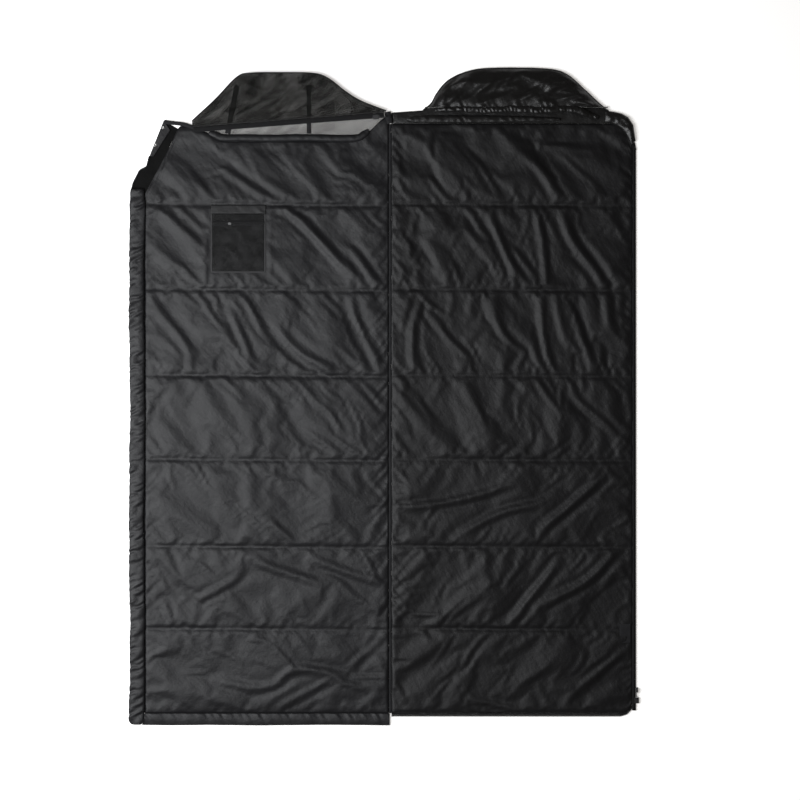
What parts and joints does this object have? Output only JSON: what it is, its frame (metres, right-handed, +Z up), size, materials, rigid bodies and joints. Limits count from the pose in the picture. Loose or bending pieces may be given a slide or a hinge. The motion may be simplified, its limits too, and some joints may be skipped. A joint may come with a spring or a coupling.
{
  "type": "camp quilt",
  "caption": "Zip-round rectangular sleeping bag opened flat as a quilt, with a padded hood, an insect-net face panel, a mesh pocket, draught flaps and zip sliders.",
  "frame": {"origin": "middle of the opened quilt's footprint, on the floor", "axes": "+Y towards the hood end, +X towards the hood half, +Z up out of the lining"},
  "size_m": [1.5554, 2.0065, 0.0275],
  "materials": {
    "shell_nylon": "satin",
    "lining_nylon": "satin",
    "batting": "matte",
    "seam_binding": "matte",
    "zip_tape": "matte",
    "zip_coil": "satin",
    "hook_tape": "matte",
    "elastic": "matte",
    "insect_net": "matte",
    "pocket_mesh": "matte",
    "webbing": "matte",
    "dark_metal": "satin",
    "stud_metal": "polished",
    "pull_cord": "matte",
    "grip_rubber": "matte"
  },
  "bodies": {
    "hood_half": {"hood_half_shell": "shell_nylon", "hood_half_batting": "batting", "hood_half_lining": "lining_nylon", "centre_seam_binding": "seam_binding", "side_zip_tape": "zip_tape", "side_zip_coil": "zip_coil", "zip_head_stop": "dark_metal", "foot_zip_tape": "zip_tape", "foot_zip_coil": "zip_coil", "hook_patch": "hook_tape"},
    "hood": {"hood_back_shell": "shell_nylon", "hood_back_batting": "batting", "hood_back_lining": "lining_nylon", "hood_front_lining": "lining_nylon", "hood_front_batting": "batting", "hood_front_shell": "shell_nylon", "hood_edge_binding": "shell_nylon", "hood_rim_casing": "shell_nylon", "hood_rim_elastic": "elastic", "neck_roll": "lining_nylon"},
    "main_slider": {"main_slider": "dark_metal"},
    "main_pull": {"main_pull_ring": "dark_metal", "main_pull_cord": "pull_cord", "main_pull_grip": "grip_rubber"},
    "net_half": {"net_half_shell": "shell_nylon", "net_half_batting": "batting", "net_half_lining": "lining_nylon", "neck_hem": "lining_nylon", "draught_tube_cover": "lining_nylon", "draught_tube_filling": "batting", "net_side_zip_tape": "zip_tape", "net_side_zip_coil": "zip_coil", "foot_flap": "lining_nylon", "net_foot_zip_tape": "zip_tape", "net_foot_zip_coil": "zip_coil", "back_net": "insect_net", "net_edge_binding": "insect_net", "net_tape_left": "webbing", "net_tape_right": "webbing", "pocket_band": "lining_nylon", "pocket_binding": "seam_binding", "pocket_mesh_upper": "pocket_mesh", "pocket_mesh_lower": "pocket_mesh", "pocket_zip_tape": "zip_tape", "pocket_zip_coil": "zip_coil", "corner_gusset": "shell_nylon"},
    "pocket_slider": {"pocket_slider": "stud_metal"},
    "pocket_pull": {"pocket_pull": "stud_metal"},
    "corner_flap": {"corner_flap": "shell_nylon", "press_stud_upper": "stud_metal", "press_stud_lower": "stud_metal"},
    "net_front": {"front_net": "insect_net", "net_zip_tape": "zip_tape", "net_zip_coil": "zip_coil"},
    "net_slider": {"net_slider": "dark_metal"},
    "net_pull": {"net_pull_ring": "dark_metal", "net_pull_cord": "pull_cord", "net_pull_knot": "pull_cord"}
  },
  "joints": [
    {"name": "fold", "type": "hinge", "parent": "hood_half", "child": "net_half", "pos_m": [0.0186, 0, 0.028], "axis": [0, 1, 0], "range_deg": [0, 180]},
    {"name": "hood_turnover", "type": "hinge", "parent": "hood_half", "child": "hood", "pos_m": [0.39, 0.83215, 0.0203], "axis": [-1, 0, 0], "range_deg": [-178, 0]},
    {"name": "main_zip", "type": "slide", "parent": "hood_half", "child": "main_slider", "axis": [0, 1, 0], "range_m": [0, 1.665]},
    {"name": "main_pull_swing", "type": "hinge", "parent": "main_slider", "child": "main_pull", "pos_m": [0.7707, -0.92085, 0.0081], "axis": [1, 0, 0], "range_deg": [0, 150]},
    {"name": "net_turnback", "type": "hinge", "parent": "net_half", "child": "net_front", "pos_m": [-0.3, 0.98965, 0.0167], "axis": [-1, 0, 0], "range_deg": [0, 180]},
    {"name": "net_zip", "type": "slide", "parent": "net_front", "child": "net_slider", "axis": [-0.997, -0.0771, 0], "range_m": [0, 0.54]},
    {"name": "net_pull_swing", "type": "hinge", "parent": "net_slider", "child": "net_pull", "pos_m": [-0.01861, 0.85114, 0.022], "axis": [0.0771, -0.997, 0], "range_deg": [0, 150]},
    {"name": "pocket_zip", "type": "slide", "parent": "net_half", "child": "pocket_slider", "axis": [1, 0, 0], "range_m": [0, 0.095]},
    {"name": "pocket_pull_swing", "type": "hinge", "parent": "pocket_slider", "child": "pocket_pull", "pos_m": [-0.4679, 0.52665, 0.0155], "axis": [0, -1, 0], "range_deg": [0, 120]},
    {"name": "corner_flap_turn", "type": "hinge", "parent": "net_half", "child": "corner_flap", "pos_m": [-0.6938, 0.78765, 0.0045], "axis": [-0.3714, -0.9285, 0], "range_deg": [0, 135]}
  ]
}
